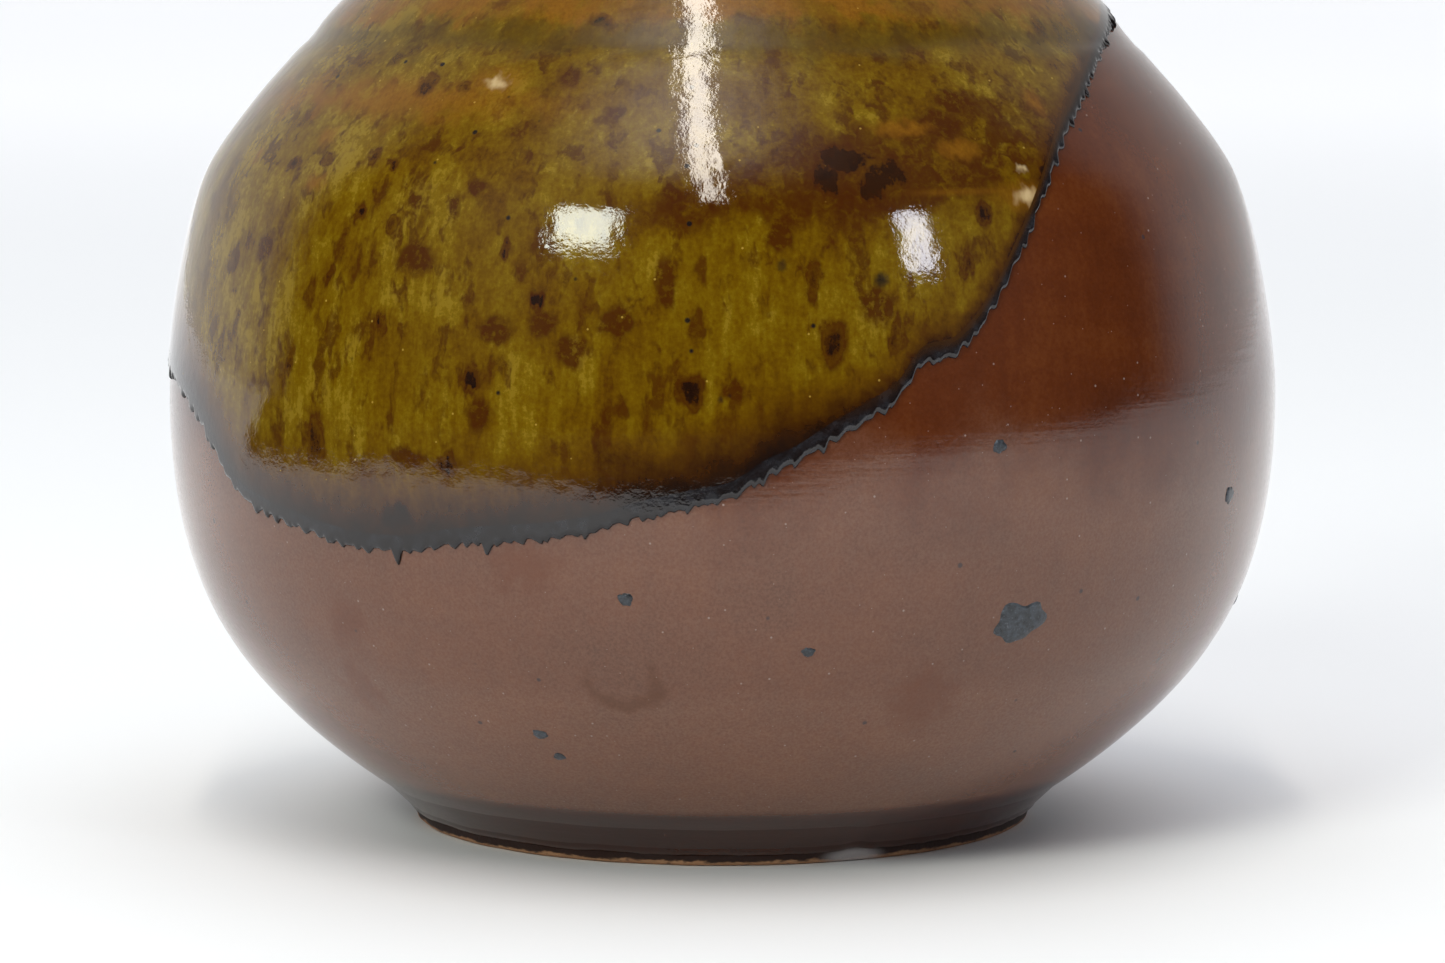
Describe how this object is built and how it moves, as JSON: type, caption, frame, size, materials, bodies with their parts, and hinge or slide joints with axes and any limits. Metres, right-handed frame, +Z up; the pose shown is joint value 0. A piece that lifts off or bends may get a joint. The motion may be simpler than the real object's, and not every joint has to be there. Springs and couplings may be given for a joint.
{
  "type": "sake bottle",
  "caption": "Squat round stoneware sake bottle with a turned foot, narrow neck and flared mouth, brown glaze all over and olive glaze poured over its upper side.",
  "frame": {"origin": "centre of the foot ring, on the table", "axes": "+Z up along the axis the bottle was thrown on, -Y the front, with the lowest part of the olive glaze left of the front, +X to the right"},
  "size_m": [0.0903, 0.0905, 0.1304],
  "materials": {
    "clay": "bare fired stoneware, orange-tan, matt",
    "brown_glaze": "red-brown iron glaze, soft gloss, fine specks",
    "olive_glaze": "olive to amber ash glaze, high gloss, rust-red blotches",
    "dark_glaze": "brown-black pooled glaze with blue-grey lights, glossy",
    "liner_glaze": "plain brown liner glaze, soft gloss",
    "blue_grey_glaze": "blue-grey stray drops of glaze, soft gloss"
  },
  "bodies": {
    "root": {"clay_body": "clay", "brown_glaze": "brown_glaze", "olive_glaze": "olive_glaze", "glaze_bead": "dark_glaze", "inner_glaze": "liner_glaze", "glaze_splashes": "blue_grey_glaze"}
  },
  "joints": []
}
